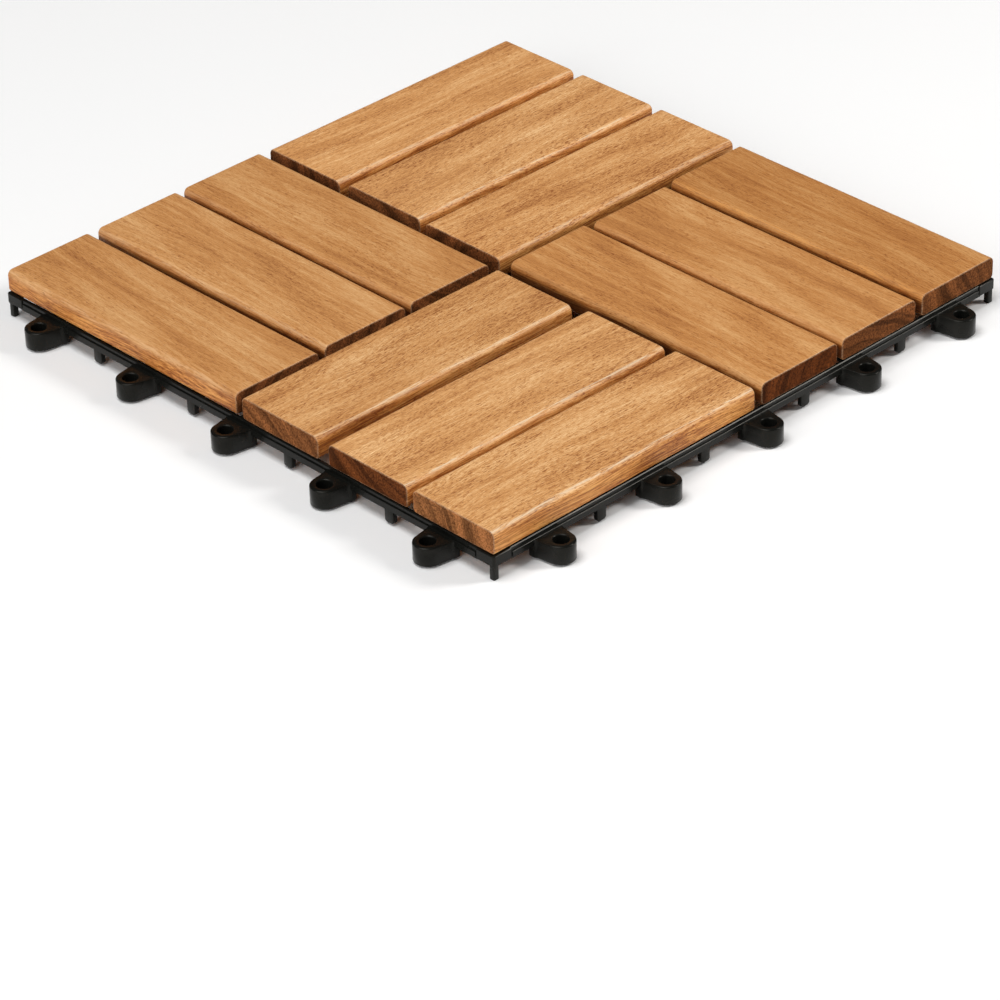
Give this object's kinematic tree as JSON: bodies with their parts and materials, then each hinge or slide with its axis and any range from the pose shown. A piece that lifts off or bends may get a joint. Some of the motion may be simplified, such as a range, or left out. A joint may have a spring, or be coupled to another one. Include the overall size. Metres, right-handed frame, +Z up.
{
  "type": "interlocking deck tile",
  "caption": "Square outdoor deck tile: wooden slats in a pinwheel, screwed to a black moulded grid with loops on two sides and pins on the other two.",
  "frame": {"origin": "centre of the tile's square, on the ground that its feet stand on", "axes": "+Z up through the slats; the looped sides are -Y and +X, and the sides with pins are +Y and -X"},
  "size_m": [0.3132, 0.3132, 0.0225],
  "materials": {
    "black_plastic": "satin moulded",
    "oiled_wood": "oiled, satin",
    "screw_steel": "plated"
  },
  "bodies": {
    "root": {"base_grid": "black_plastic", "slat_ne_inner": "oiled_wood", "slat_ne_middle": "oiled_wood", "slat_ne_outer": "oiled_wood", "slat_nw_inner": "oiled_wood", "slat_nw_middle": "oiled_wood", "slat_nw_outer": "oiled_wood", "slat_sw_inner": "oiled_wood", "slat_sw_middle": "oiled_wood", "slat_sw_outer": "oiled_wood", "slat_se_inner": "oiled_wood", "slat_se_middle": "oiled_wood", "slat_se_outer": "oiled_wood", "slat_screws": "screw_steel"}
  },
  "joints": []
}
